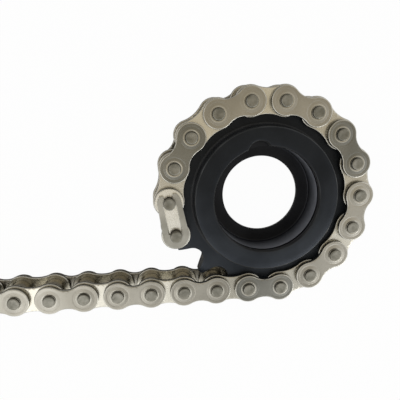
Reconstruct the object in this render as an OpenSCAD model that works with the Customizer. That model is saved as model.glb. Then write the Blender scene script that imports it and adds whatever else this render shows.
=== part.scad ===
// Roller chain sprocket with the chain that is wrapped round its teeth.
// Z is the sprocket's axis, and z = 0 is the middle plane of the teeth and of the chain.
// The chain's joints are numbered from 0, at the free end with the spring clip, to the end of the tail.
// A link carries the number of its first joint, and joins it to the next one.

/* [Chain] */
// Pitch of the chain, from pin to pin
pitch = 12.7; // [12.4:0.1:13.4]
// Diameter of the rollers
roller_d = 8.51; // [8.1:0.01:8.6]
// Diameter of the pins
pin_d = 4.45; // [4.2:0.05:4.6]
// Radial running clearance of a pin in its bush
pin_clearance = 0.05; // [0.02:0.01:0.1]
// Wall of a bush
bush_wall = 0.87; // [0.7:0.01:0.95]
// Radial running clearance of a roller on its bush
roller_clearance = 0.05; // [0.02:0.01:0.1]
// End clearance of a roller between the inner plates
roller_end_gap = 0.05; // [0.03:0.01:0.15]
// Thickness of the inner plates
inner_plate_t = 1.6; // [1.2:0.05:1.8]
// Height of the inner plates at their round ends
inner_plate_h = 11.8; // [11:0.1:12]
// Height of the inner plates at their waist
inner_waist_h = 9.5; // [8:0.1:10]
// How far a bush stands out of its plates at each end
bush_proud = 0.15; // [0.05:0.01:0.2]
// Side clearance between a bush's end and the outer plate
link_side_gap = 0.07; // [0.05:0.01:0.2]
// Thickness of the outer plates
outer_plate_t = 1.6; // [1.2:0.05:1.8]
// Height of the outer plates at their round ends
outer_plate_h = 10.9; // [10:0.1:11.6]
// Height of the outer plates at their waist
outer_waist_h = 7.5; // [6.5:0.1:8.5]
// How far a riveted pin stands out of its outer plate
pin_proud = 1.1; // [0.6:0.1:1.6]
// Chamfer round the end of a pin
pin_chamfer = 0.35; // [0.1:0.05:0.5]
// Number of the chain's last joint
last_joint = 24; // [20:2:28]
// Number of the last joint that is seated on the sprocket
last_seated = 15; // [13:1:15]

/* [Connecting link] */
// How far the connecting pins stand out of the cover plate
clip_pin_proud = 2.7; // [2.3:0.1:3.2]
// Radial clearance of the connecting pins in the cover plate
cover_clearance = 0.03; // [0.02:0.01:0.1]
// Thickness of the spring clip
clip_t = 0.9; // [0.6:0.05:1.1]
// Width of the spring clip at its closed end
clip_closed_w = 9.8; // [9:0.1:10]
// Width of the spring clip at its open end
clip_open_w = 8.8; // [8.2:0.1:9.4]
// Width of the slot between the clip's legs
clip_slot_w = 4.8; // [4.2:0.1:5.2]
// How far the tips of the legs reach past the second pin
clip_reach = 3.2; // [2.6:0.1:3.8]
// Width of the mouth between the leg tips, at its narrow side
clip_mouth_w = 2.8; // [2.4:0.1:3.2]
// How much wider the mouth is at the outer ends of the tips
clip_mouth_flare = 0.9; // [0.2:0.1:1.4]
// Depth of the clip's grooves in the connecting pins
clip_groove_depth = 0.35; // [0.2:0.05:0.5]
// Clearance of the clip in its grooves and over the cover plate
clip_gap = 0.05; // [0.03:0.01:0.1]

/* [Teeth] */
// Number of teeth
teeth = 18; // [17:1:19]
// Height of the tooth tips above the pitch circle
tip_height = 2.35; // [1.8:0.05:2.6]
// Thickness of the teeth
tooth_w = 7.2; // [6.4:0.1:7.6]
// Side clearance between the teeth and the inner plates
tooth_side_gap = 0.275; // [0.15:0.025:0.6]
// Clearance of a roller in its seat
seat_clearance = 0.045; // [0.03:0.005:0.1]
// Half of the angle of the seat between the two flanks
seat_half_angle = 62; // [58:1:66]
// Depth of the rounded relief at the tips, on each side of the teeth
tip_relief = 1.2; // [0.6:0.1:1.8]
// Radius of the rounding on the sides of the teeth
tooth_side_r = 12.7; // [8:0.1:13]

/* [Hub] */
// Gap between the hub and the chain's inner plates
chain_hub_gap = 3.3; // [2.5:0.1:5]
// Height of the hub's face above the middle of the teeth
hub_front = 8.6; // [7.4:0.1:10]
// Height of the rear face below the middle of the teeth
hub_back = 5.3; // [4.6:0.1:6.5]
// How much smaller in radius the rear boss is than the hub
rear_step = 3; // [1:0.5:4]
// Radius of the fillet between the hub and the teeth
hub_fillet = 1; // [0.5:0.1:1.5]
// Chamfer on the hub's edges
hub_chamfer = 0.4; // [0.2:0.1:0.6]
// Diameter of the bearing seat
seat_d = 40; // [38:0.5:41]
// Depth of the bearing seat's floor below the hub's face
seat_depth = 12; // [11:0.1:12.6]
// Radius in the corner of the bearing seat
seat_corner = 0.6; // [0.2:0.1:1]
// Width of the flat floor between the bearing seat and the through hole
floor_w = 5; // [3:0.1:6]
// Depth of the retaining ring's groove in the seat's wall
groove_t = 0.6; // [0.3:0.05:0.9]
// Width of the retaining ring's groove
groove_w = 1.1; // [0.8:0.1:1.6]
// Distance from the hub's face to the groove
groove_from_face = 1.6; // [1.2:0.1:2.4]
// Radius of the recess that gives access to the retaining ring
notch_r = 4.5; // [3.5:0.1:5]
// How far the recess reaches into the hub's face from the seat's wall
notch_bite = 2.3; // [1.5:0.1:2.8]
// Place of the recess round the hub, in degrees from +X
notch_angle = 100; // [0:1:359]

/* [Hidden] */
$fn = 96;

// Length that a cutting shape runs past what it cuts
cut = 1;

// Overlap where two arcs, or an arc and a line, run into each other
blend = 0.01;

// Heights of the chain's layers above the middle plane
inner_width = tooth_w + 2 * tooth_side_gap;
inner_plate_z = inner_width / 2;
bush_half = inner_plate_z + inner_plate_t + bush_proud;
outer_plate_z = bush_half + link_side_gap;
outer_face_z = outer_plate_z + outer_plate_t;
pin_half = outer_face_z + pin_proud;
clip_z = outer_face_z + clip_gap;
clip_pin_top = outer_face_z + clip_pin_proud;
roller_half = inner_plate_z - roller_end_gap;

// Radii of what turns on what
pin_r = pin_d / 2;
bush_bore_r = pin_r + pin_clearance;
bush_r = bush_bore_r + bush_wall;
roller_bore_r = bush_r + roller_clearance;
clip_groove_r = pin_r - clip_groove_depth;

// The chain's path: seats on the pitch circle, and a straight tail along -X
tooth_angle = 360 / teeth;
pitch_r = pitch / 2 / sin(tooth_angle / 2);
last_seat_angle = -90 - tooth_angle / 2;

// Outline of the teeth
tip_r = pitch_r + tip_height;
seat_r = roller_d / 2 + seat_clearance;
flank_x = (seat_r - blend) * sin(seat_half_angle);
flank_y = pitch_r - (seat_r - blend) * cos(seat_half_angle);
flank_h = tip_r + cut - flank_y;
flank_out = flank_h * tan(90 - seat_half_angle);
relief_l = sqrt(2 * tooth_side_r * tip_relief - tip_relief * tip_relief);

// Radii of the hub
hub_r = pitch_r - inner_plate_h / 2 - chain_hub_gap;
rear_r = hub_r - rear_step;
bearing_r = seat_d / 2;
through_r = bearing_r - floor_w;
groove_r = bearing_r + groove_t;
floor_z = hub_front - seat_depth;
groove_top = hub_front - groove_from_face;
groove_bottom = groove_top - groove_w;
notch_at = bearing_r + notch_bite - notch_r;

// Finishes
black_oxide = [0.13, 0.14, 0.16];
nickel = [0.72, 0.69, 0.62];
steel = [0.6, 0.6, 0.58];

function two_digits(k) = k < 10 ? str("0", k) : str(k);

// Angle of joint k round the sprocket, while the chain is wrapped
function seat_angle(k) = last_seat_angle + tooth_angle * (last_seated - k);

function on_wrap(k) = pitch_r * [cos(seat_angle(k)), sin(seat_angle(k))];

// Place of joint k, on the pitch circle or along the tail
function joint_at(k) =
    k <= last_seated ? on_wrap(k) : on_wrap(last_seated) - [pitch * (k - last_seated), 0];

function link_angle(k) =
    let (step = joint_at(k + 1) - joint_at(k)) atan2(step[1], step[0]);

// Puts a link, drawn from the origin along +X, between joints k and k + 1
module at_link(k) {
    translate(joint_at(k))
        rotate(link_angle(k))
            children();
}

// A pair of round ends, one pitch apart, joined by a waist of two hollow arcs
module link_outline(end_h, waist_h) {
    end_r = end_h / 2;
    meet_r = end_r - blend;
    waist_r = (pitch * pitch / 4 + waist_h * waist_h / 4 - meet_r * meet_r) / (2 * meet_r - waist_h);
    waist_y = waist_r + waist_h / 2;
    meet = meet_r / (meet_r + waist_r) * [pitch / 2, waist_y];
    circle(end_r);
    translate([pitch, 0])
        circle(end_r);
    difference() {
        translate([meet[0], -meet[1]])
            square([pitch - 2 * meet[0], 2 * meet[1]]);
        for (side = [-1, 1])
            translate([pitch / 2, side * waist_y])
                circle(waist_r);
    }
}

module inner_plate() {
    linear_extrude(inner_plate_t)
        link_outline(inner_plate_h, inner_waist_h);
}

module outer_plate() {
    linear_extrude(outer_plate_t)
        link_outline(outer_plate_h, outer_waist_h);
}

// A pin from below the lower outer plate to the given height, with chamfered ends
module pin(top) {
    rotate_extrude()
        polygon([
            [0, -pin_half],
            [pin_r - pin_chamfer, -pin_half],
            [pin_r, -pin_half + pin_chamfer],
            [pin_r, top - pin_chamfer],
            [pin_r - pin_chamfer, top],
            [0, top]
        ]);
}

// Two plates with the two bushes pressed into them
module inner_link(k) {
    color(nickel)
        at_link(k)
            difference() {
                union() {
                    for (z = [inner_plate_z, -inner_plate_z - inner_plate_t])
                        translate([0, 0, z])
                            inner_plate();
                    for (x = [0, pitch])
                        translate([x, 0, -bush_half])
                            cylinder(h = 2 * bush_half, r = bush_r);
                }
                for (x = [0, pitch])
                    translate([x, 0, -bush_half - cut])
                        cylinder(h = 2 * (bush_half + cut), r = bush_bore_r);
            }
}

// Two plates with the two pins riveted into them
module outer_link(k) {
    color(nickel)
        at_link(k) {
            for (z = [outer_plate_z, -outer_face_z])
                translate([0, 0, z])
                    outer_plate();
            for (x = [0, pitch])
                translate([x, 0, 0])
                    pin(pin_half);
        }
}

module roller(k) {
    color(steel)
        translate(joint_at(k))
            difference() {
                translate([0, 0, -roller_half])
                    cylinder(h = 2 * roller_half, r = roller_d / 2);
                translate([0, 0, -roller_half - cut])
                    cylinder(h = 2 * (roller_half + cut), r = roller_bore_r);
            }
}

// The removable link: one plate with two long pins, grooved for the spring clip
module connecting_link() {
    groove_h = clip_t + 2 * clip_gap;
    color(nickel)
        at_link(0)
            difference() {
                union() {
                    translate([0, 0, -outer_face_z])
                        outer_plate();
                    for (x = [0, pitch])
                        translate([x, 0, 0])
                            pin(clip_pin_top);
                }
                for (x = [0, pitch])
                    translate([x, 0, outer_face_z])
                        difference() {
                            cylinder(h = groove_h, r = pin_r + cut);
                            translate([0, 0, -cut])
                                cylinder(h = groove_h + 2 * cut, r = clip_groove_r);
                        }
            }
}

module cover_plate() {
    color(nickel)
        at_link(0)
            difference() {
                translate([0, 0, outer_plate_z])
                    outer_plate();
                for (x = [0, pitch])
                    translate([x, 0, outer_plate_z - cut])
                        cylinder(h = outer_plate_t + 2 * cut, r = pin_r + cover_clearance);
            }
}

// Outline of the clip: a wide closed end round joint 0, and two legs that taper towards joint 1
module clip_outline() {
    closed_r = clip_closed_w / 2;
    open_r = clip_open_w / 2;
    lean = asin((closed_r - open_r) / pitch);
    edge = [sin(lean), cos(lean)];
    from_closed = (closed_r - blend) * edge;
    from_open = [pitch, 0] + (open_r - blend) * edge;
    circle(closed_r);
    intersection() {
        translate([pitch, 0])
            circle(open_r);
        translate([0, -clip_open_w])
            square([pitch + clip_reach, 2 * clip_open_w]);
    }
    polygon([
        [from_closed[0], -from_closed[1]],
        [from_open[0], -from_open[1]],
        from_open,
        from_closed
    ]);
}

// The slot between the legs, the hollows that sit in the pins' grooves, and the mouth
module clip_opening() {
    hold_r = clip_groove_r + clip_gap;
    slot_start = hold_r / 2;
    mouth_half = clip_mouth_w / 2;
    mouth_out = mouth_half + clip_mouth_flare / 2;
    for (x = [0, pitch])
        translate([x, 0])
            circle(hold_r);
    translate([slot_start, -clip_slot_w / 2])
        square([pitch - 2 * slot_start, clip_slot_w]);
    polygon([
        [pitch, -mouth_half],
        [pitch + clip_reach + cut, -mouth_out],
        [pitch + clip_reach + cut, mouth_out],
        [pitch, mouth_half]
    ]);
}

module spring_clip() {
    color(nickel)
        at_link(0)
            translate([0, 0, clip_z])
                linear_extrude(clip_t)
                    difference() {
                        clip_outline();
                        clip_opening();
                    }
}

// One gap between two teeth, round at the roller's seat, with straight open flanks
module tooth_gap() {
    translate([0, pitch_r])
        circle(seat_r);
    polygon([
        [-flank_x, flank_y],
        [flank_x, flank_y],
        [flank_x + flank_out, flank_y + flank_h],
        [-flank_x - flank_out, flank_y + flank_h]
    ]);
}

module toothed_outline() {
    difference() {
        circle(tip_r + cut);
        for (k = [0 : teeth - 1])
            rotate(seat_angle(k) - 90)
                tooth_gap();
    }
}

// Half section of the toothed plate, with rounded sides towards the tips
module tooth_section() {
    relief_start = tip_r - relief_l;
    translate([groove_r, -tooth_w / 2])
        square([relief_start - groove_r, tooth_w]);
    intersection() {
        translate([relief_start, -tooth_w / 2])
            square([relief_l, tooth_w]);
        for (side = [-1, 1])
            translate([relief_start, side * (tooth_side_r - tooth_w / 2)])
                circle(tooth_side_r);
    }
}

// Fills an inner corner at the origin, open towards +X and +Y, with a fillet
module corner_fillet(r) {
    difference() {
        translate([-r, -r])
            square(2 * r);
        translate([r - blend, r - blend])
            circle(r);
    }
}

// Half section of the hub, with the bearing seat, its groove and the through hole
module hub_section() {
    polygon([
        [through_r, -hub_back + hub_chamfer],
        [through_r + hub_chamfer, -hub_back],
        [rear_r - hub_chamfer, -hub_back],
        [rear_r, -hub_back + hub_chamfer],
        [rear_r, 0],
        [hub_r, 0],
        [hub_r, hub_front - hub_chamfer],
        [hub_r - hub_chamfer, hub_front],
        [bearing_r + hub_chamfer, hub_front],
        [bearing_r, hub_front - hub_chamfer],
        [bearing_r, groove_top],
        [groove_r, groove_top],
        [groove_r, groove_bottom],
        [bearing_r, groove_bottom],
        [bearing_r, floor_z],
        [through_r, floor_z]
    ]);
    translate([hub_r, tooth_w / 2])
        corner_fillet(hub_fillet);
    translate([bearing_r, floor_z])
        mirror([1, 0])
            corner_fillet(seat_corner);
}

module sprocket() {
    color(black_oxide)
        difference() {
            intersection() {
                rotate_extrude() {
                    tooth_section();
                    hub_section();
                }
                translate([0, 0, -hub_back - cut])
                    linear_extrude(hub_back + hub_front + 2 * cut)
                        toothed_outline();
            }
            rotate(notch_angle)
                translate([notch_at, 0, groove_bottom])
                    cylinder(h = hub_front - groove_bottom + cut, r = notch_r);
        }
}

sprocket();
connecting_link();
cover_plate();
spring_clip();
for (k = [1 : 2 : last_joint - 1])
    inner_link(k);
for (k = [2 : 2 : last_joint - 2])
    outer_link(k);
for (k = [1 : last_joint])
    roller(k);
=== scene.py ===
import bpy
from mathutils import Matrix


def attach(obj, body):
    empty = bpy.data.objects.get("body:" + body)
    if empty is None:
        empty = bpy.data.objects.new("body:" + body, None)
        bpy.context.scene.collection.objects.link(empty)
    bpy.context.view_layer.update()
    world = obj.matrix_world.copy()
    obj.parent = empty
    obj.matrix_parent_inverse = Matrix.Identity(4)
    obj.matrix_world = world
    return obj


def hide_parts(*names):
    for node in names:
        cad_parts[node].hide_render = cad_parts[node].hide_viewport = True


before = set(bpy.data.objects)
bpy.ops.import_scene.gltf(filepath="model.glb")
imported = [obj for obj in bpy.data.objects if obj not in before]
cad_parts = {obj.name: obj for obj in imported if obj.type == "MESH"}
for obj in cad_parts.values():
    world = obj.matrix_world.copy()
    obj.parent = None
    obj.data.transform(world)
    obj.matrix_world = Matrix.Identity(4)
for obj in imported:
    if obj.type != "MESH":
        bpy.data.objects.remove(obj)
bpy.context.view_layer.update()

import math

import bmesh
import bpy
import numpy as np
from mathutils import Euler, Vector

# Lengths in the settings are in millimetres. They become metres where meshes, materials and lights are made.

chain = {
    "pitch": 12.7,
    "teeth": 18,
    "lastJoint": 24,
    "lastSeated": 15,  # the last joint whose roller sits in a tooth gap
    "plateThick": 1.6,
    "innerPlateZ": 3.875,  # inner faces of the inner plates
    "outerPlateZ": 5.695,  # inner faces of the outer plates
}
toothAngle = 2 * math.pi / chain["teeth"]
pitchRadius = chain["pitch"] / 2 / math.sin(toothAngle / 2)


# A joint lies on the pitch circle up to the last seated one, and then one pitch further along -X each.
def jointAt(k):
    seated = min(k, chain["lastSeated"])
    angle = -math.pi / 2 - toothAngle / 2 + toothAngle * (chain["lastSeated"] - seated)
    spot = pitchRadius * np.array([math.cos(angle), math.sin(angle)])
    return spot - np.array([chain["pitch"] * (k - seated), 0.0])


# Quads between neighbouring rows of a grid; a closed grid also joins its last column to the first.
def gridFaces(rows, columns, closed=True):
    r, c = np.meshgrid(np.arange(rows - 1), np.arange(columns if closed else columns - 1), indexing="ij")
    a, b = r * columns + c, r * columns + (c + 1) % columns
    return np.stack([a, b, b + columns, a + columns], -1).reshape(-1, 4)


# A profile of radius and height carried round Z: x = r cos, y = r sin. It runs up outside and down inside.
def turned(profile, columns):
    profile = np.asarray(profile, float)
    angle = np.linspace(0, 2 * math.pi, columns, endpoint=False)
    x = profile[:, :1] * np.cos(angle)
    y = profile[:, :1] * np.sin(angle)
    z = np.repeat(profile[:, 1:], columns, 1)
    return np.stack([x, y, z], -1).reshape(-1, 3), gridFaces(len(profile), columns)


# Each corner of a closed outline becomes a quadratic curve between points a cut away on its two sides.
def roundCorners(points, cut, steps=4):
    here = np.asarray(points, float)
    cut = np.broadcast_to(np.asarray(cut, float), len(here))[:, None]
    before, after = np.roll(here, 1, 0) - here, np.roll(here, -1, 0) - here
    lengthBefore = np.linalg.norm(before, axis=1, keepdims=True)
    lengthAfter = np.linalg.norm(after, axis=1, keepdims=True)
    a = here + before / lengthBefore * np.minimum(cut, 0.49 * lengthBefore)
    b = here + after / lengthAfter * np.minimum(cut, 0.49 * lengthAfter)
    s = np.linspace(0, 1, steps)[None, :, None]
    curve = (1 - s) ** 2 * a[:, None] + 2 * s * (1 - s) * here[:, None] + s**2 * b[:, None]
    return curve.reshape(-1, 2)


# The rounded outline with its first point again at the end, so that it closes when it is carried round.
def closedProfile(points, cut, steps=4):
    ring = roundCorners(points, cut, steps)
    return np.concatenate([ring, ring[:1]])


# A surface is its points and its faces. Joined ones keep their points one after the other, and each surface's
# faces count on from the points before it.
def joined(*surfaces):
    starts = np.cumsum([0] + [len(v) for v, _ in surfaces])
    verts = np.concatenate([v for v, _ in surfaces])
    return verts, np.concatenate([f + start for (_, f), start in zip(surfaces, starts)])


def moved(surface, dx=0.0, dy=0.0, dz=0.0):
    return surface[0] + np.array([dx, dy, dz]), surface[1]


# A mirror in the plane across one axis, with the faces turned round so that they still point outwards.
def mirrored(surface, axis):
    v = surface[0].copy()
    v[:, axis] *= -1
    return v, surface[1][:, ::-1]


# A link drawn from the origin along +X is turned to the line between its joints and moved to the first one.
def atLink(surface, k):
    here, there = jointAt(k), jointAt(k + 1)
    angle = math.atan2(there[1] - here[1], there[0] - here[0])
    c, s = math.cos(angle), math.sin(angle)
    turn = np.array([[c, s, 0], [-s, c, 0], [0, 0, 1]])
    return surface[0] @ turn + np.array([here[0], here[1], 0]), surface[1]


# A mesh object at the origin from surfaces with a material each, doubles merged, smooth apart from edges
# sharper than the angle given. Caps are further faces, as lists of the first surface's points.
def buildPiece(name, surfaces, body, nodes, materials, sharp=35, caps=()):
    verts, faces = joined(*surfaces)
    counts = [len(f) for _, f in surfaces]
    mesh = bpy.data.meshes.new(name)
    mesh.from_pydata((verts * 0.001).tolist(), [], faces.tolist() + [list(cap) for cap in caps])
    which = np.concatenate([np.repeat(np.arange(len(counts)), counts), np.zeros(len(caps), int)])
    mesh.polygons.foreach_set("material_index", which.astype(np.int32))
    for material in materials:
        mesh.materials.append(material)
    work = bmesh.new()
    work.from_mesh(mesh)
    bmesh.ops.remove_doubles(work, verts=work.verts, dist=2e-6)
    bmesh.ops.dissolve_degenerate(work, edges=work.edges, dist=1e-7)
    work.to_mesh(mesh)
    work.free()
    mesh.polygons.foreach_set("use_smooth", np.ones(len(mesh.polygons), bool))
    mesh.set_sharp_from_angle(angle=math.radians(sharp))
    piece = bpy.data.objects.new(name, mesh)
    bpy.context.scene.collection.objects.link(piece)
    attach(piece, body)
    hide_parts(*nodes)
    return piece


def addNode(tree, kind, **settings):
    node = tree.nodes.new(kind)
    for key, value in settings.items():
        setattr(node, key, value)
    return node


# Noise over a place, from 0 to 1.
def noiseFrom(tree, source, scale, detail, roughness=0.5):
    noise = addNode(tree, "ShaderNodeTexNoise")
    noise.inputs["Scale"].default_value = scale
    noise.inputs["Detail"].default_value = detail
    noise.inputs["Roughness"].default_value = roughness
    tree.links.new(source, noise.inputs["Vector"])
    return noise.outputs["Fac"]


# A value between low and high becomes one with the same share between toLow and toHigh, never past them.
def rangeFrom(tree, source, low, high, toLow, toHigh):
    remap = addNode(tree, "ShaderNodeMapRange")
    for socket, value in (("From Min", low), ("From Max", high), ("To Min", toLow), ("To Max", toHigh)):
        remap.inputs[socket].default_value = value
    tree.links.new(source, remap.inputs["Value"])
    return remap.outputs["Result"]


# What most of the metals share; a metal's own look overrides it.
plainMetal = {
    "metallic": 1.0, "specular": 0.5, "speckScale": 2600,
    "turning": 0,  # distance between lathe marks, 0 for none
    "driftSpan": (0.35, 0.65), "speckSpan": (0.3, 0.7),  # the noise values between which the look changes
    "ringShare": 0.35,  # height of the lathe marks beside the speckle
    "bumpDepth": 0.05,  # how deep a bump of full strength is
}


# Metal whose colour drifts between two tones over a broad noise, with fine speckle in roughness and bump.
# Where "turning" is above 0, a sine of the distance from Z adds lathe marks to the bump. Where the look's
# painted-shade entry gives an axis, two places on it and a share, the colour has that share at the first
# place and is whole
# at the second: painted shade along that axis.
def makeMetal(name, ownLook):
    look = {**plainMetal, **ownLook}
    material = bpy.data.materials.new(name)
    material.use_nodes = True
    tree = material.node_tree
    shader = tree.nodes["Principled BSDF"]
    shader.inputs["Metallic"].default_value = look["metallic"]
    shader.inputs["Specular IOR Level"].default_value = look["specular"]
    place = addNode(tree, "ShaderNodeTexCoord").outputs["Object"]

    broad = noiseFrom(tree, place, look["driftScale"], 3)
    mix = addNode(tree, "ShaderNodeMix", data_type="RGBA")
    tree.links.new(rangeFrom(tree, broad, *look["driftSpan"], 0, 1), mix.inputs["Factor"])
    mix.inputs["A"].default_value = (*look["dark"], 1)
    mix.inputs["B"].default_value = (*look["light"], 1)
    colour = mix.outputs["Result"]
    # Painted shade: the colour darkens along the given axis.
    if "paintedShade" in look:
        axis, start, end, share = look["paintedShade"]
        axes = addNode(tree, "ShaderNodeSeparateXYZ")
        tree.links.new(place, axes.inputs[0])
        darken = addNode(tree, "ShaderNodeVectorMath", operation="SCALE")
        tree.links.new(colour, darken.inputs[0])
        strength = rangeFrom(tree, axes.outputs[axis], start * 0.001, end * 0.001, share, 1)
        tree.links.new(strength, darken.inputs["Scale"])
        colour = darken.outputs["Vector"]
    tree.links.new(colour, shader.inputs["Base Color"])

    fine = noiseFrom(tree, place, look["speckScale"], 4, 0.6)
    rough = rangeFrom(tree, fine, *look["speckSpan"], *look["roughness"])
    tree.links.new(rough, shader.inputs["Roughness"])

    height = fine
    if look["turning"] > 0:
        flat = addNode(tree, "ShaderNodeVectorMath", operation="MULTIPLY")
        flat.inputs[1].default_value = (1, 1, 0)
        tree.links.new(place, flat.inputs[0])
        length = addNode(tree, "ShaderNodeVectorMath", operation="LENGTH")
        tree.links.new(flat.outputs["Vector"], length.inputs[0])
        wave = addNode(tree, "ShaderNodeMath", operation="SINE")
        times = addNode(tree, "ShaderNodeMath", operation="MULTIPLY")
        times.inputs[1].default_value = 2 * math.pi / (look["turning"] * 0.001)
        tree.links.new(length.outputs["Value"], times.inputs[0])
        tree.links.new(times.outputs["Value"], wave.inputs[0])
        add = addNode(tree, "ShaderNodeMath", operation="MULTIPLY_ADD")
        add.inputs[1].default_value = look["ringShare"]
        tree.links.new(wave.outputs["Value"], add.inputs[0])
        tree.links.new(fine, add.inputs[2])
        height = add.outputs["Value"]
    bump = addNode(tree, "ShaderNodeBump")
    bump.inputs["Strength"].default_value = look["bump"]
    bump.inputs["Distance"].default_value = look["bumpDepth"] * 0.001
    tree.links.new(height, bump.inputs["Height"])
    tree.links.new(bump.outputs["Normal"], shader.inputs["Normal"])
    return material


outerNickel = makeMetal("outerNickel", {
    "dark": (0.33, 0.313, 0.268), "light": (0.46, 0.44, 0.385), "driftScale": 45,
    "roughness": (0.27, 0.37), "bump": 0.25,
})
innerNickel = makeMetal("innerNickel", {
    "dark": (0.54, 0.515, 0.44), "light": (0.67, 0.645, 0.57), "driftScale": 60,
    "roughness": (0.24, 0.32), "bump": 0.2,
})
# Painted shade and painted highlight: darker and lighter copies of the plates' nickel, for links that the
# light catches less and more.
tiltShadeNickel = makeMetal("tiltShadeNickel", {
    "dark": (0.20, 0.198, 0.175), "light": (0.28, 0.276, 0.247), "driftScale": 45,
    "roughness": (0.27, 0.37), "bump": 0.25,
})
tiltLightNickel = makeMetal("tiltLightNickel", {
    "dark": (0.69, 0.66, 0.57), "light": (0.86, 0.83, 0.735), "driftScale": 60,
    "roughness": (0.24, 0.32), "bump": 0.2,
})
# Painted highlight: the cover plate is a near-white copy of the plates' nickel, for the light it reflects.
coverHighlightNickel = makeMetal("coverHighlightNickel", {
    "dark": (0.86, 0.84, 0.76), "light": (0.94, 0.92, 0.86), "driftScale": 200,
    "roughness": (0.24, 0.32), "bump": 0.2,
})
# Painted highlight: the plates' rounded rims are a brighter copy of the nickel, for the light they catch.
rimHighlightNickel = makeMetal("rimHighlightNickel", {
    "dark": (0.52, 0.505, 0.445), "light": (0.64, 0.62, 0.56), "driftScale": 90,
    "roughness": (0.22, 0.30), "bump": 0.1,
})
ringNickel = makeMetal("ringNickel", {
    "dark": (0.43, 0.415, 0.36), "light": (0.56, 0.54, 0.48), "driftScale": 90,
    "roughness": (0.25, 0.34), "bump": 0.15,
})
clipSteel = makeMetal("clipSteel", {
    "dark": (0.36, 0.352, 0.312), "light": (0.50, 0.49, 0.445), "driftScale": 140,
    "roughness": (0.3, 0.4), "bump": 0.25,
})
# Painted shade: the plates' walls and the walls of their holes are dark, for the shade and gap shadow along
# the plates' edges.
wallShadeSteel = makeMetal("wallShadeSteel", {
    "dark": (0.06, 0.055, 0.043), "light": (0.115, 0.107, 0.085), "driftScale": 300,
    "roughness": (0.4, 0.55), "speckScale": 2200, "bump": 0.4,
})
# Painted shade: the pins' sides are dark, for the shade round the pins.
pinSideShade = makeMetal("pinSideShade", {
    "dark": (0.05, 0.046, 0.038), "light": (0.09, 0.085, 0.07), "driftScale": 300,
    "roughness": (0.35, 0.5), "speckScale": 2200, "bump": 0.3,
})
pinSteel = makeMetal("pinSteel", {
    "dark": (0.19, 0.185, 0.155), "light": (0.31, 0.30, 0.26), "driftScale": 420,
    "roughness": (0.34, 0.5), "speckScale": 1800, "bump": 0.5,
})
rollerSteel = makeMetal("rollerSteel", {
    "dark": (0.20, 0.185, 0.145), "light": (0.28, 0.26, 0.21), "driftScale": 120,
    "roughness": (0.18, 0.28), "speckScale": 2400, "bump": 0.2,
})
# Painted shade: the black oxide darkens towards +Y, to 0.4 of its colour at Y = 8 mm, for how the light falls
# on the sprocket's upper side.
blackOxide = makeMetal("blackOxide", {
    "dark": (0.026, 0.031, 0.039), "light": (0.044, 0.051, 0.062), "driftScale": 70,
    "metallic": 0.5, "specular": 0.25, "roughness": (0.28, 0.42), "speckScale": 2000, "bump": 0.3,
    "turning": 0.35, "paintedShade": ("Y", 8, -28, 0.4),
})
# Painted shade: a darker copy of the black oxide for the groove, the seat's floor, the through hole and the
# whole back of the sprocket.
recessShadeOxide = makeMetal("recessShadeOxide", {
    "dark": (0.010, 0.011, 0.014), "light": (0.018, 0.0195, 0.024), "driftScale": 70,
    "metallic": 0.5, "specular": 0.25, "roughness": (0.28, 0.42), "speckScale": 2000, "bump": 0.3,
    "turning": 0.35,
})
# Painted light: the hub's side gets its own more diffuse copy of the oxide, toned so that it does not show as
# a black band where it mirrors the dark.
hubSidePaintedOxide = makeMetal("hubSidePaintedOxide", {
    "dark": (0.024, 0.0255, 0.0285), "light": (0.034, 0.036, 0.040), "driftScale": 90,
    "metallic": 0.2, "specular": 0.3, "roughness": (0.45, 0.58), "speckScale": 2000, "bump": 0.3,
})
# Painted highlight: the hub's chamfered edge is a lighter, more metallic copy of the oxide, for the light
# line along it.
edgeHighlightOxide = makeMetal("edgeHighlightOxide", {
    "dark": (0.027, 0.029, 0.031), "light": (0.066, 0.069, 0.073), "driftScale": 130,
    "metallic": 0.7, "roughness": (0.25, 0.38), "speckScale": 2000, "bump": 0.3,
})
# Painted shade: the bore's chamfered mouth is darker than the face, for the dark line at the mouth.
mouthShadeOxide = makeMetal("mouthShadeOxide", {
    "dark": (0.014, 0.015, 0.017), "light": (0.034, 0.036, 0.038), "driftScale": 110,
    "metallic": 0.6, "specular": 0.3, "roughness": (0.28, 0.42), "speckScale": 2000, "bump": 0.3,
})
# Painted sheen and painted shade: the bearing seat's wall is a lighter, matt copy of the oxide for the sheen
# on it, and darkens to 0.06 of that towards the seat's floor for the shade in the recess.
boreSheenShadeOxide = makeMetal("boreSheenShadeOxide", {
    "dark": (0.140, 0.150, 0.176), "light": (0.200, 0.213, 0.248), "driftScale": 110,
    "metallic": 0.0, "roughness": (0.42, 0.55), "speckScale": 2000, "bump": 0.3,
    "paintedShade": ("Z", -3.4, 6.2, 0.06),
})
print("materials made")


plates = {
    "inner": {"end": 5.9, "waist": 9.5, "hole": 2.6},
    "outer": {"end": 5.45, "waist": 7.5, "hole": 1.8},
    "edge": 0.34,  # rounding of the plates' edges
    "flatMargin": 1.05,  # how far inside the rim the even rows end, in roundings
    "flatTo": 4.6,  # rows lie at the marks up to this radius, and are spread evenly beyond it
    # radius, height and width of each ring round a pin
    "ringMarks": [(2.32, -0.12, 0.06), (2.82, 0.05, 0.12), (4.05, -0.04, 0.12)],
    "markRows": (-1.8, -0.9, 0, 0.9, 1.8),  # rows across a ring, in widths from its middle
    "pressed": (2.4, 3.15),  # the brighter ring that the riveting leaves round a pin
    "endColumns": 45, "waistColumns": 11, "edgeRows": 6,
}


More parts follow.
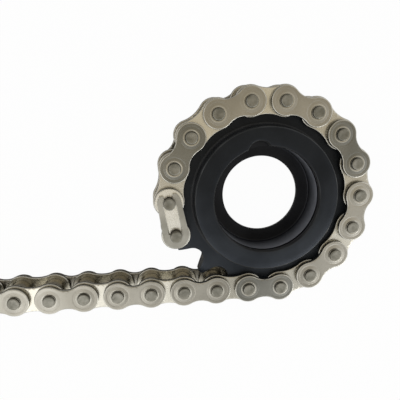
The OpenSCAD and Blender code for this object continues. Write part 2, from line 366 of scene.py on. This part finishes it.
# Half a link plate round its joint, as a grid of angle and distance. The rim is the end's circle, then the
# hollow waist's arc, then the middle line. Height falls off as a quarter circle where the rim is nearer than
# the edge's rounding, and each mark adds a bell curve of the distance from its ring.
def plateHalf(shape, marks):
    end, waist, half = shape["end"], shape["waist"] / 2, chain["pitch"] / 2
    edge, thick, hole = plates["edge"], chain["plateThick"], shape["hole"]
    hollow = (half**2 + waist**2 - end**2) / (2 * (end - waist))
    middle = hollow + waist
    cutAngle, meetAngle = math.atan2(waist, half), math.atan2(middle, half)
    turn = np.linspace(0, math.pi / 2, plates["edgeRows"])
    nearCorner = waist - edge * (1 - np.sin(turn))
    cross = np.concatenate([-nearCorner[::-1], np.linspace(-0.6, 0.6, 4) * waist, nearCorner])
    theta = np.concatenate([
        np.arctan2(cross, half)[:-1],
        np.linspace(cutAngle, meetAngle, plates["waistColumns"])[:-1],
        np.linspace(meetAngle, 2 * math.pi - meetAngle, plates["endColumns"])[:-1],
        np.linspace(2 * math.pi - meetAngle, 2 * math.pi - cutAngle, plates["waistColumns"])[:-1],
    ])
    u, v = np.cos(theta), np.abs(np.sin(theta))
    folded = np.abs(np.angle(np.exp(1j * theta)))
    along = u * half + v * middle
    toHollow = along - np.sqrt(np.maximum(along**2 - half**2 - middle**2 + hollow**2, 0))
    beyondEnd = np.where(folded > cutAngle + 1e-9, toHollow, half / np.maximum(u, 0.1))
    rim = np.where(folded > meetAngle - 1e-9, end, beyondEnd)
    flatRim, flatTo = rim - edge * plates["flatMargin"], plates["flatTo"]
    atMarks = [at + width * share for at, _, width in marks for share in plates["markRows"]]
    circles = np.array(sorted([hole, *atMarks, flatTo]))[:, None] + 0 * theta
    inside = np.concatenate([circles, flatTo + (flatRim - flatTo) * np.linspace(0, 1, 4)[1:, None]])
    outside = rim - edge * (1 - np.sin(turn))[:, None]
    radius = np.concatenate([inside, outside])
    x, y = radius * np.cos(theta), radius * np.sin(theta)
    nearHollow = np.hypot(x - half, np.abs(y) - middle) - hollow
    depth = np.where(half * np.abs(y) - middle * x > 0, end - radius, nearHollow)
    depth = np.clip(depth, 0, edge)
    fall = edge - np.sqrt(np.maximum(edge**2 - (edge - depth) ** 2, 0))
    top = thick - fall
    for at, height, width in marks:
        top = top + height * np.exp(-(((radius - at) / width) ** 2)) * (depth >= edge)
    rows, columns = radius.shape
    faces = gridFaces(rows, columns)[:, ::-1].reshape(rows - 1, columns, 4)
    atRim = np.zeros((rows - 1, columns), bool)
    atRim[len(inside) - 1:, len(cross) - 1:] = True
    low, high = plates["pressed"]
    atPin = (radius[:-1] >= low) & (radius[1:] <= high) & bool(marks)
    above, below = [np.stack([x, y, z], -1).reshape(-1, 3) for z in (top, fall)]
    parts = (~atRim & ~atPin, atPin, atRim) if marks else (~atRim, atRim)
    faceParts = [joined((above, faces[part]), (below, faces[part][:, ::-1])) for part in parts]
    rimIndex = np.arange(len(cross) - 1, columns + 1) % columns
    wallTop = np.stack([x[-1, rimIndex], y[-1, rimIndex], top[-1, rimIndex]], -1)
    wallLow = np.stack([x[-1, rimIndex], y[-1, rimIndex], fall[-1, rimIndex]], -1)
    wall = (np.concatenate([wallLow, wallTop]), gridFaces(2, len(rimIndex), closed=False))
    holeTop = np.stack([x[0], y[0], top[0]], -1)
    holeLow = np.stack([x[0], y[0], fall[0]], -1)
    return *faceParts, joined(wall, (np.concatenate([holeTop, holeLow]), gridFaces(2, columns)))


# A whole plate above the given height, as a half and its mirror image at the next joint: its flats, its
# pressed rings if it has marks, its rounded rims and its walls.
def plate(shape, height, marks=()):
    return [
        joined(moved(half, dz=height), moved(mirrored(half, 0), dx=chain["pitch"], dz=height))
        for half in plateHalf(shape, marks)
    ]


pin = {
    "radius": 2.225,
    "half": 8.395,  # from the middle to a riveted end
    "edge": 0.36,  # rounding of an end
    "dish": 0.06,  # how much the middle of an end is sunk
    "dishRows": [(0.72, 0), (0.5, 0.7), (0.2, 1), (0, 1)],  # share of the radius, share of the dish
    "clipTop": 9.995,
    "grooveLow": 7.295,
    "grooveHigh": 8.295,
    "grooveRadius": 1.875,
    "columns": 40, "edgeRows": 6,
}


# The end of a pin, from the wall inwards: a quarter circle, then a flat that sinks by shares of the dish.
def pinEnd(top):
    r, edge = pin["radius"], pin["edge"]
    turn = np.linspace(0, math.pi / 2, pin["edgeRows"])
    arc = np.stack([r - edge + edge * np.cos(turn), top - edge + edge * np.sin(turn)], -1)
    inner = [[r * share, top - pin["dish"] * sunk] for share, sunk in pin["dishRows"]]
    return np.concatenate([arc, inner])


# A pin as its two ends and its side; between the ends the side may run through a groove.
def pinParts(top, groove=np.empty((0, 2))):
    upper, lower = pinEnd(top), pinEnd(pin["half"])[::-1] * np.array([1, -1])
    side = np.concatenate([lower[-1:], groove, upper[:1]])
    columns = pin["columns"]
    return joined(turned(lower, columns), turned(upper, columns)), turned(side, columns)


def rivetedPin():
    return pinParts(pin["half"])


def clipPin():
    r, g = pin["radius"], pin["grooveRadius"]
    low, high = pin["grooveLow"], pin["grooveHigh"]
    return pinParts(pin["clipTop"], np.array([[r, low], [g, low], [g, high], [r, high]]))


# "edge" and "boreEdge" are the roundings outside and in the bore.
bush = {"bore": 2.275, "radius": 3.145, "half": 5.625, "edge": 0.16, "boreEdge": 0.16, "columns": 40}
roller = {"radius": 4.255, "bore": 3.195, "half": 3.825, "edge": 0.32, "boreEdge": 0.12, "columns": 48}


# A tube round Z, from a rectangle of radius and height with rounded corners.
def tube(shape):
    radius, bore, half = shape["radius"], shape["bore"], shape["half"]
    corners = [(radius, -half), (radius, half), (bore, half), (bore, -half)]
    edges = [shape["edge"], shape["edge"], shape["boreEdge"], shape["boreEdge"]]
    return turned(closedProfile(corners, edges), shape["columns"])


def atBothJoints(surface):
    return joined(surface, moved(surface, dx=chain["pitch"]))


def aboveAndBelow(surfaces):
    return [joined(one, mirrored(one, 2)) for one in surfaces]


# Each link is its plates' parts, and its bushes or its pins' ends and sides.
def innerLink():
    one = plate(plates["inner"], chain["innerPlateZ"])
    return [*aboveAndBelow(one), atBothJoints(tube(bush))]


def outerLink():
    one = plate(plates["outer"], chain["outerPlateZ"], plates["ringMarks"])
    return [*aboveAndBelow(one), *map(atBothJoints, rivetedPin())]


def connectingLink():
    one = plate(plates["outer"], chain["outerPlateZ"], plates["ringMarks"])
    return [*[mirrored(surface, 2) for surface in one], *map(atBothJoints, clipPin())]


# The cover plate is an outer plate with room in its holes, so that it slides onto the pins.
coverPlate = {"end": 5.45, "waist": 7.5, "hole": 2.255}

clip = {
    "bottom": 7.345, "thick": 0.9, "edge": 0.2,
    "flatAt": 1.3,  # distance of the flats' first row from the line, in roundings
    "closed": 4.9, "open": 4.4,  # outer radius round the joint at the closed end and at the open end
    "hold": 1.925, "holdAngle": 60,  # inner radius at a pin, and where it ends, from the clip's middle line
    "slot": 2.4, "slotFrom": 1.25,  # half width of the window between the pins, and its start from a joint
    "shoulder": (0.963, 0.3),  # where the window's narrowing starts: from a joint, and in from its side
    "reach": 3.2, "mouth": 1.4, "mouthOut": 1.75, "mouthTurn": 3,  # the tips and the mouth between them
}


# Points of an arc round a centre on the X axis, from one angle to another in degrees.
def arcPoints(centre, radius, start, end, count):
    angle = np.radians(np.linspace(start, end, count))
    return np.stack([centre + radius * np.cos(angle), radius * np.sin(angle)], -1)


# The clip is a ribbon between an outer and an inner line with as many points each. The outer one is an arc
# round each joint with a straight side between them, and the inner one holds the pins and widens to a window
# between them. Across the ribbon runs a rounded rectangle, as a share of the way from inner to outer line.
def springClip():
    c, pitch = clip, chain["pitch"]
    lean = math.degrees(math.asin((c["closed"] - c["open"]) / pitch))
    tipAngle = math.degrees(math.acos(c["reach"] / c["open"]))
    mouthAngle = math.degrees(math.asin(c["mouth"] / c["hold"])) - c["mouthTurn"]
    outer = np.concatenate([
        arcPoints(pitch, c["open"], tipAngle, 90 - lean, 18),
        np.linspace([pitch, c["open"]], [0, c["closed"]], 14)[1:-1],
        arcPoints(0, c["closed"], 90 - lean, 180, 22),
    ])
    mouthTurn = math.radians(mouthAngle)
    holdStart = [pitch + c["hold"] * math.cos(mouthTurn), c["hold"] * math.sin(mouthTurn)]
    slot, slotFrom = c["slot"], c["slotFrom"]
    along, drop = c["shoulder"]
    inner = np.concatenate([
        np.linspace([pitch + c["reach"], c["mouthOut"]], holdStart, 4)[:-1],
        arcPoints(pitch, c["hold"], mouthAngle, 180 - c["holdAngle"], 11),
        np.linspace([pitch - along, slot - drop], [pitch - slotFrom, slot], 4),
        np.linspace([pitch - slotFrom, slot], [slotFrom, slot], 14)[1:-1],
        np.linspace([slotFrom, slot], [along, slot - drop], 4),
        arcPoints(0, c["hold"], c["holdAngle"], 180, 18),
    ])
    count = min(len(outer), len(inner))
    outer, inner = [
        line[np.round(np.linspace(0, len(line) - 1, count)).astype(int)] for line in (outer, inner)
    ]
    flip = np.array([1, -1])
    outer = np.concatenate([outer, outer[-2::-1] * flip])
    inner = np.concatenate([inner, inner[-2::-1] * flip])
    across = np.linalg.norm(outer - inner, axis=1)
    e, t = c["edge"], c["thick"]
    flat = e * c["flatAt"]
    turn = np.linspace(0, math.pi / 2, 4)
    # offset from the nearer line, height, and which line that is: 0 for the inner, 1 for the outer
    rim = [(flat, t, 1)] + [(e - e * math.sin(a), t - e + e * math.cos(a), 1) for a in turn]
    rim += [(e - e * math.cos(a), e - e * math.sin(a), 1) for a in turn] + [(flat, 0, 1), (flat, 0, 0)]
    rim += [(e - e * math.sin(a), e - e * math.cos(a), 0) for a in turn]
    rim += [(e - e * math.cos(a), t - e + e * math.sin(a), 0) for a in turn] + [(flat, t, 0)]
    offset, height, side = np.array(rim).T
    share = np.where(side[None, :] > 0.5, 1 - offset / across[:, None], offset / across[:, None])
    line = inner[:, None] + (outer - inner)[:, None] * share[..., None]
    z = np.broadcast_to(c["bottom"] + height, share.shape)
    verts = np.concatenate([line, z[..., None]], -1)
    rows, columns = share.shape
    first, last = range(columns - 1, -1, -1), range((rows - 1) * columns, rows * columns)
    return (verts.reshape(-1, 3), gridFaces(rows, columns)), (first, last)


seatedLinks = range(3, 13)
# Links 2, 8 and 14 get the darker copy of the nickel and links 3, 5, 11, 17 and 21 the lighter one: painted
# shade and painted highlight for how the light falls on them.
paintedTiltFlats = {**dict.fromkeys((2, 8, 14), tiltShadeNickel), **dict.fromkeys((3, 5, 11, 17, 21), tiltLightNickel)}


def bodyOfLink(k):
    return "seated" if k in seatedLinks else f"link_{k:02d}"


inner, outer, spinning = innerLink(), outerLink(), tube(roller)
innerLooks = [innerNickel, rimHighlightNickel, wallShadeSteel, rollerSteel]
outerLooks = [outerNickel, ringNickel, rimHighlightNickel, wallShadeSteel, pinSteel, pinSideShade]
coverLooks = [coverHighlightNickel, rimHighlightNickel, wallShadeSteel]
for k in range(1, chain["lastJoint"]):
    kind, surfaces, looks = ("inner", inner, innerLooks) if k % 2 else ("outer", outer, outerLooks)
    looks = [paintedTiltFlats.get(k, looks[0]), *looks[1:]]  # a few links have darker or lighter plates, painted shade and painted highlight for how the light falls on their tilt
    surfaces = [atLink(surface, k) for surface in surfaces]
    node = f"{kind}_link_{k:02d}"
    buildPiece(f"{kind}Link{k:02d}", surfaces, bodyOfLink(k), [node], looks)
for k in range(1, chain["lastJoint"] + 1):
    x, y = jointAt(k)
    node, surfaces = f"roller_{k:02d}", [moved(spinning, dx=x, dy=y)]
    buildPiece(f"roller{k:02d}", surfaces, node, [node], [rollerSteel])
surfaces = [atLink(surface, 0) for surface in connectingLink()]
buildPiece("connectingLink", surfaces, "free_end", ["connecting_link"], outerLooks)
surfaces = [atLink(surface, 0) for surface in plate(coverPlate, chain["outerPlateZ"])]
buildPiece("coverPlate", surfaces, "free_end", ["cover_plate"], coverLooks)
ribbon, ends = springClip()
ribbon = atLink(ribbon, 0)
buildPiece("springClip", [ribbon], "free_end", ["spring_clip"], [clipSteel], caps=ends)
print("chain made")


sprocket = {
    "seatRadius": 4.3, "seatHalfAngle": 62, "tip": 38.918,
    "toothHalf": 3.6, "relief": 1.2, "sideRadius": 12.7,
    "hub": 27.368, "rear": 24.368, "front": 8.6, "back": 5.3,
    "fillet": 1.0, "chamfer": 0.4, "bearing": 20.0, "through": 15.0, "floor": -3.4, "seatCorner": 0.6,
    "grooveRadius": 20.6, "grooveTop": 7.0, "grooveLow": 5.9,
    "notchRadius": 4.5, "notchAt": 17.8, "notchAngle": 100, "edge": 0.14,
    "soft": 0.08,  # rounding at a chamfer's two edges
    "lip": 0.05,  # rounding at the groove's edges
    "notchLip": 0.06,  # how much wider the recess is at the groove's top
    "throughLip": 0.2,  # chamfer of the through hole at the seat's floor
    "faceShares": (0.66, 0.33),  # rows on the hub's face, as shares of its width from the mouth
    "wallRows": (3.0, 0.0),  # heights of rows on the bearing seat's wall
    # rows on the seat's floor, the boss's back and the disc's back, from their inner edges
    "floorRow": 2.2, "backRow": 4.5, "rearRow": 1.0,
}


# Radius of the toothed outline over the angle from a gap's middle: the near side of the roller's seat circle,
# then the straight flank, then the tip circle.
def gapOutline():
    s = sprocket
    half = math.radians(s["seatHalfAngle"])
    fx, fy = s["seatRadius"] * math.sin(half), pitchRadius - s["seatRadius"] * math.cos(half)
    slope = math.pi / 2 - half
    seatEnd = math.atan2(fx, fy)
    tipEnd = slope + math.asin((fx * math.cos(slope) - fy * math.sin(slope)) / s["tip"])
    phi = np.concatenate([
        np.linspace(0, seatEnd, 13)[:-1],
        np.linspace(seatEnd, tipEnd, 7)[:-1],
        np.linspace(tipEnd, toothAngle / 2, 4)[:-1],
    ])
    square = np.maximum(s["seatRadius"] ** 2 - (pitchRadius * np.sin(phi)) ** 2, 0)
    seat = pitchRadius * np.cos(phi) - np.sqrt(square)
    flank = (fx * math.cos(slope) - fy * math.sin(slope)) / np.sin(phi - slope)
    radius = np.where(phi < seatEnd - 1e-9, seat, np.where(phi < tipEnd - 1e-9, flank, s["tip"]))
    phi = np.concatenate([-phi[:0:-1], phi])
    radius = np.concatenate([radius[:0:-1], radius])
    return phi, radius


# Rings of radius and height, each over the whole turn: x = r cos, y = r sin. The teeth shape the outer ones,
# and the recess at the retaining ring's groove, a circle set off from the middle, shapes those at the hub's
# mouth. The teeth's sides fall away as a circle's arc. A cut starts a new surface at the last ring.
def sprocketSurfaces():
    s = sprocket
    phi, gap = gapOutline()
    first = -math.pi / 2 - toothAngle / 2
    theta = np.concatenate([first + toothAngle * k + phi for k in range(chain["teeth"])])
    outline = np.tile(gap, chain["teeth"])
    fromNotch = theta - math.radians(s["notchAngle"])
    reach = s["notchAt"] * np.cos(fromNotch)
    square = s["notchRadius"] ** 2 - s["notchAt"] ** 2 + reach**2
    notch = np.where((square > 0) & (reach > 0), reach + np.sqrt(np.maximum(square, 0)), 0)

    def toothHeight(r):
        start = s["tip"] - math.sqrt(2 * s["sideRadius"] * s["relief"] - s["relief"] ** 2)
        over = np.maximum(r - start, 0)
        return s["toothHalf"] - s["sideRadius"] + np.sqrt(s["sideRadius"] ** 2 - over**2)

    rings, cuts = [], [0]

    def ring(r, z):
        rings.append(np.stack(np.broadcast_arrays(r + 0 * theta, z + 0 * theta), -1))

    def run(*points):
        for r, z in points:
            ring(r, z)
        cuts.append(len(rings) - 1)

    e, turn = s["edge"], np.linspace(0, math.pi / 2, 4)
    root = s["hub"] + s["fillet"]
    sideSteps = np.linspace(1, 0, 12)
    ring(outline, -toothHeight(outline) + e)
    ring(outline, toothHeight(outline) - e)
    for a in turn[1:]:
        ring(outline - e + e * math.cos(a), toothHeight(outline) - e + e * math.sin(a))
    for share in sideSteps[1:]:
        r = root + (outline - e - root) * share
        ring(r, toothHeight(r))
    run()
    for a in np.linspace(0, math.pi / 2, 7)[1:]:
        ring(root - s["fillet"] * math.sin(a), s["toothHalf"] + s["fillet"] * (1 - math.cos(a)))
    c, soft, lip = s["chamfer"], s["soft"], s["lip"]
    front, back, hub, rear = s["front"], -s["back"], s["hub"], s["rear"]
    mouth = np.maximum(s["bearing"], notch)
    run((hub, front - c - soft))
    run(
        (hub - soft * 0.5, front - c + soft * 0.5), (hub - c + soft * 0.5, front - soft * 0.5),
        (hub - c - soft, front),
    )
    face = [(mouth + (hub - c - mouth) * share, front) for share in s["faceShares"]]
    run(*face, (mouth + c + soft, front))
    run(
        (mouth + c - soft * 0.5, front - soft * 0.5), (mouth + soft * 0.5, front - c + soft * 0.5),
        (mouth, front - c - soft),
    )
    bearing, grooveTop, grooveLow = s["bearing"], s["grooveTop"], s["grooveLow"]
    run(
        (mouth, grooveTop + lip), (mouth + lip, grooveTop),
        (np.maximum(s["grooveRadius"], notch + s["notchLip"]), grooveTop),
        (np.maximum(s["grooveRadius"], notch), grooveLow),
        (bearing + lip, grooveLow), (bearing, grooveLow - lip),
    )
    floor, corner = s["floor"], s["seatCorner"]
    run(*[(bearing, z) for z in s["wallRows"]], (bearing, floor + corner))
    for a in np.linspace(0, math.pi / 2, 5)[1:]:
        ring(bearing - corner * (1 - math.cos(a)), floor + corner * (1 - math.sin(a)))
    through, disc = s["through"], -s["toothHalf"]
    for r, z in (
        (through + s["floorRow"], floor),
        (through + s["throughLip"], floor), (through, floor - s["throughLip"]),
        (through, back + c + soft), (through + soft * 0.5, back + c - soft * 0.5),
        (through + c - soft * 0.5, back + soft * 0.5), (through + c + soft, back),
        (through + s["backRow"], back), (rear - c - soft, back),
        (rear - c + soft * 0.5, back + soft * 0.5), (rear - soft * 0.5, back + c - soft * 0.5),
        (rear, back + c + soft), (rear, disc), (rear + s["rearRow"], disc),
    ):
        ring(r, z)
    for share in sideSteps[::-1]:
        r = root + (outline - e - root) * share
        ring(r, -toothHeight(r))
    for a in turn[::-1]:
        ring(outline - e + e * math.cos(a), -toothHeight(outline) + e - e * math.sin(a))
    run()
    grid = np.stack(rings)
    x, y = grid[..., 0] * np.cos(theta), grid[..., 0] * np.sin(theta)
    verts = np.stack([x, y, grid[..., 1]], -1)
    spans = [verts[start:end + 1] for start, end in zip(cuts, cuts[1:])]
    return [(span.reshape(-1, 3), gridFaces(len(span), len(theta))) for span in spans]


sprocketLooks = [
    blackOxide, hubSidePaintedOxide, edgeHighlightOxide, blackOxide,  # teeth and disc, hub's side, hub's edge, hub's face
    mouthShadeOxide, recessShadeOxide, boreSheenShadeOxide, recessShadeOxide,  # mouth's edge, groove, bearing seat's wall, all the rest
]
surfaces = sprocketSurfaces()
buildPiece("sprocket", surfaces, "seated", ["sprocket"], sprocketLooks, sharp=28)
print("sprocket made")


studio = {
    "floorZ": -8.45,
    "floorHalf": 2000,
    "floorWhite": 0.8,
    "showWhite": 0.97,  # how much of the floor's look to the camera is plain white
    "worldLevel": 0.6,
    "darkSide": (-0.55, 0.83, 0),  # where metal mirrors a darker sky, low above the horizon
    "darkLevel": 0.36,
    "darkSpan": (0.05, 0.5),  # how far towards that side the sky starts and stops darkening
    "panelHeight": 640,
    "panels": [  # dimmer panels above, which flat metal mirrors
        {"name": "panelNorth", "x": (-440, 440), "y": (-160, 440), "glow": (0.58, 0.52, 0.41)},
        {"name": "panelSouth", "x": (-440, 440), "y": (-480, -160), "glow": (0.58, 0.58, 0.565)},
    ],
    "lamps": [
        {"name": "softTail", "at": (-215, -290, 520), "size": 300, "power": 0.3},
        {"name": "softSide", "at": (380, -400, 260), "size": 300, "power": 0.7},
        {"name": "softLeft", "at": (-420, 160, 380), "size": 260, "power": 0.2},
    ],
}


# Diffuse white for the light on it, mixed with an even white where the camera looks at it.
def floorMaterial():
    material = bpy.data.materials.new("paleFloor")
    material.use_nodes = True
    tree = material.node_tree
    tree.nodes.clear()
    out = addNode(tree, "ShaderNodeOutputMaterial")
    matt = addNode(tree, "ShaderNodeBsdfDiffuse")
    matt.inputs["Color"].default_value = (*[studio["floorWhite"]] * 3, 1)
    white = addNode(tree, "ShaderNodeEmission")
    path = addNode(tree, "ShaderNodeLightPath")
    share = addNode(tree, "ShaderNodeMath", operation="MULTIPLY")
    share.inputs[1].default_value = studio["showWhite"]
    mix = addNode(tree, "ShaderNodeMixShader")
    tree.links.new(path.outputs["Is Camera Ray"], share.inputs[0])
    tree.links.new(share.outputs["Value"], mix.inputs["Fac"])
    tree.links.new(matt.outputs["BSDF"], mix.inputs[1])
    tree.links.new(white.outputs["Emission"], mix.inputs[2])
    fromBelow = addNode(tree, "ShaderNodeMixShader")  # clear from below, so that the underside can be seen
    tree.links.new(addNode(tree, "ShaderNodeNewGeometry").outputs["Backfacing"], fromBelow.inputs["Fac"])
    tree.links.new(mix.outputs["Shader"], fromBelow.inputs[1])
    tree.links.new(addNode(tree, "ShaderNodeBsdfTransparent").outputs["BSDF"], fromBelow.inputs[2])
    tree.links.new(fromBelow.outputs["Shader"], out.inputs["Surface"])
    return material


def glowMaterial(name, colour):
    material = bpy.data.materials.new(name)
    material.use_nodes = True
    tree = material.node_tree
    tree.nodes.clear()
    glow = addNode(tree, "ShaderNodeEmission")
    glow.inputs["Color"].default_value = (*colour, 1)
    tree.links.new(glow.outputs["Emission"], addNode(tree, "ShaderNodeOutputMaterial").inputs["Surface"])
    return material


# A level rectangle over the given spans of X and Y, facing up or down.
def stageSheet(name, x, y, height, up, material):
    corners = [(x[0], y[0]), (x[1], y[0]), (x[1], y[1]), (x[0], y[1])]
    mesh = bpy.data.meshes.new(name)
    face = (0, 1, 2, 3) if up else (3, 2, 1, 0)
    mesh.from_pydata([(0.001 * a, 0.001 * b, 0.001 * height) for a, b in corners], [], [face])
    mesh.materials.append(material)
    sheet = bpy.data.objects.new(name, mesh)
    bpy.context.scene.collection.objects.link(sheet)


span = (-studio["floorHalf"], studio["floorHalf"])
stageSheet("floor", span, span, studio["floorZ"], True, floorMaterial())
for panel in studio["panels"]:
    glow = glowMaterial(panel["name"], panel["glow"])
    stageSheet(panel["name"], panel["x"], panel["y"], studio["panelHeight"], False, glow)

world = bpy.data.worlds.new("studio")
bpy.context.scene.world = world
world.use_nodes = True
worldTree = world.node_tree
worldLight = worldTree.nodes["Background"]
worldLight.inputs["Color"].default_value = (1, 1, 1, 1)
path = addNode(worldTree, "ShaderNodeLightPath")
seen = addNode(worldTree, "ShaderNodeMath", operation="MAXIMUM")
worldTree.links.new(path.outputs["Is Camera Ray"], seen.inputs[0])
worldTree.links.new(path.outputs["Is Transmission Ray"], seen.inputs[1])
towards = addNode(worldTree, "ShaderNodeVectorMath", operation="DOT_PRODUCT")
towards.inputs[1].default_value = studio["darkSide"]
worldTree.links.new(addNode(worldTree, "ShaderNodeTexCoord").outputs["Object"], towards.inputs[0])
mirroredSky = rangeFrom(worldTree, towards.outputs["Value"], *studio["darkSpan"], 1.0, studio["darkLevel"])
unseen = rangeFrom(worldTree, path.outputs["Is Glossy Ray"], 0, 1, studio["worldLevel"], 1.0)
worldTree.links.new(mirroredSky, unseen.node.inputs["To Max"])
level = rangeFrom(worldTree, seen.outputs["Value"], 0, 1, 0.0, 1.0)
worldTree.links.new(unseen, level.node.inputs["To Min"])
worldTree.links.new(level, worldLight.inputs["Strength"])

for lamp in studio["lamps"]:
    data = bpy.data.lights.new(lamp["name"], "AREA")
    data.size, data.energy = lamp["size"] * 0.001, lamp["power"]
    light = bpy.data.objects.new(lamp["name"], data)
    light.location = Vector(lamp["at"]) * 0.001
    light.rotation_euler = (-light.location).to_track_quat("-Z", "Y").to_euler()
    bpy.context.scene.collection.objects.link(light)

view = {  # the camera's place, its turns about X, Y and Z in degrees, and its lens
    "at": (-41.988, 37.634, 159.6), "turn": (-13.4601, -6.4374, -0.68),
    "lens": 38.519, "sensor": 36, "near": 0.01, "far": 20,
}
lens = bpy.data.cameras.new("camera")
lens.lens, lens.sensor_width = view["lens"], view["sensor"]
lens.clip_start, lens.clip_end = view["near"], view["far"]
camera = bpy.data.objects.new("camera", lens)
camera.location = Vector(view["at"]) * 0.001
camera.rotation_euler = Euler([math.radians(a) for a in view["turn"]], "XYZ")
bpy.context.scene.collection.objects.link(camera)
bpy.context.scene.camera = camera
bpy.context.scene.view_settings.view_transform = "Standard"
print("studio made")
